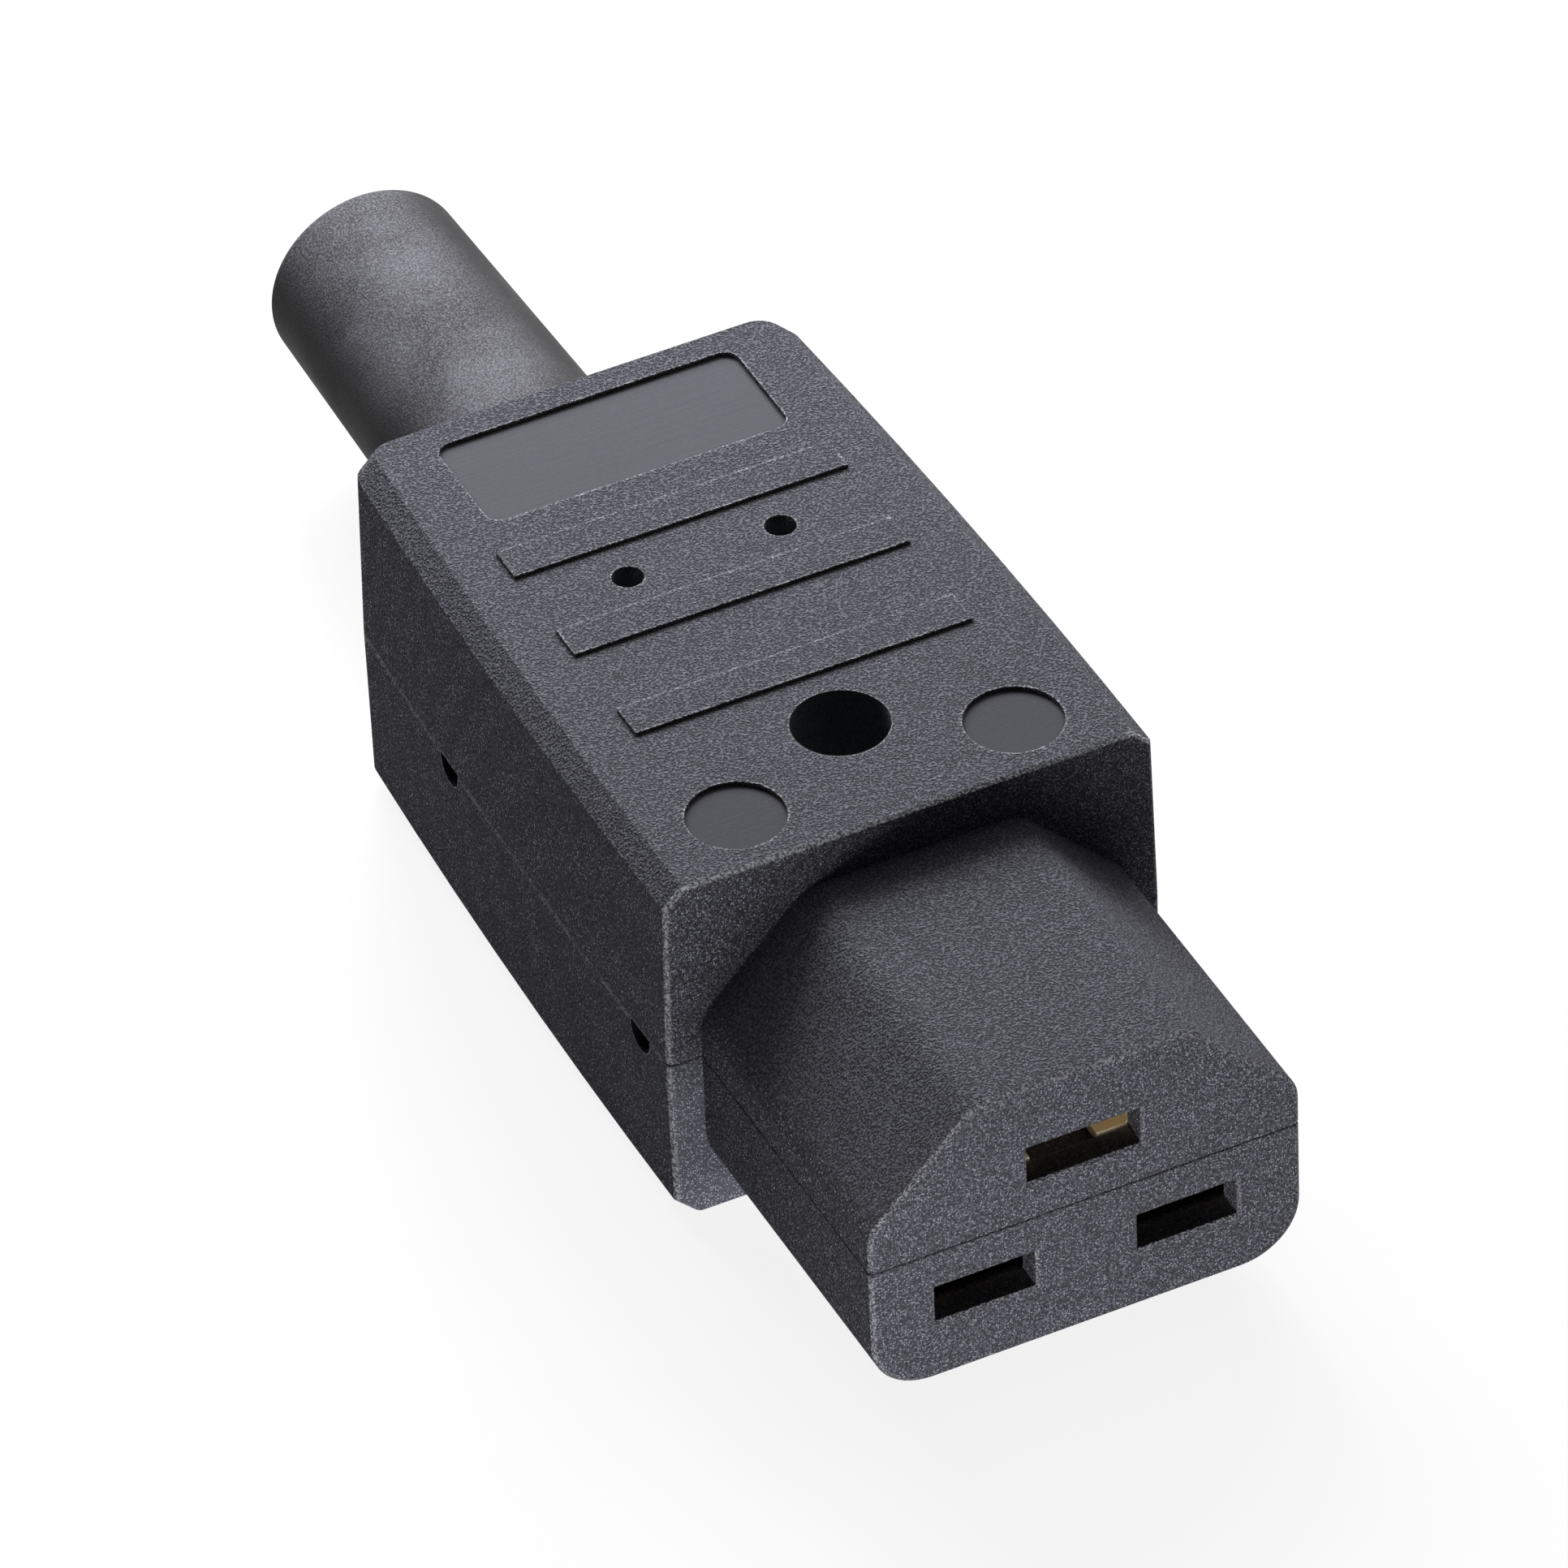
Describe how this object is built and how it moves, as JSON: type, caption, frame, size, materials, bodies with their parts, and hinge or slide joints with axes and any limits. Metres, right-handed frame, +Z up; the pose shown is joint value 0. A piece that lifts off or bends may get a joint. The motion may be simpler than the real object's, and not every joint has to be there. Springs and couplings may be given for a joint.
{
  "type": "rewireable appliance connector",
  "caption": "Two-shell rewireable mains connector for hot conditions: flat contact nose with bevelled upper corners, grip ribs on top and a tapered bend boot at the cable end.",
  "frame": {"origin": "on the surface that the connector lies on, under the middle of its length and width", "axes": "+Y from the contact face to the cable end, +X to the right seen from the contact face with the earth slot up, +Z up"},
  "size_m": [0.032, 0.0974, 0.0251],
  "materials": {
    "shell": "spark-eroded grain, satin",
    "boot": "satin",
    "clamp": "plain moulded",
    "brass": "bright rolled",
    "steel": "zinc plated"
  },
  "bodies": {
    "root": {"upper_shell": "shell", "lower_shell": "shell", "bend_boot": "boot", "housing_screw": "steel", "housing_nut": "steel", "cord_clamp": "clamp", "cord_clamp_screw_left": "steel", "cord_clamp_screw_right": "steel", "live_contact": "brass", "live_contact_spring": "steel", "live_terminal_nut": "brass", "live_wire_plate": "steel", "live_terminal_screw": "steel", "neutral_contact": "brass", "neutral_contact_spring": "steel", "neutral_terminal_nut": "brass", "neutral_wire_plate": "steel", "neutral_terminal_screw": "steel", "earth_contact": "brass", "earth_contact_spring": "steel", "earth_terminal_nut": "brass", "earth_wire_plate": "steel", "earth_terminal_screw": "steel"}
  },
  "joints": []
}
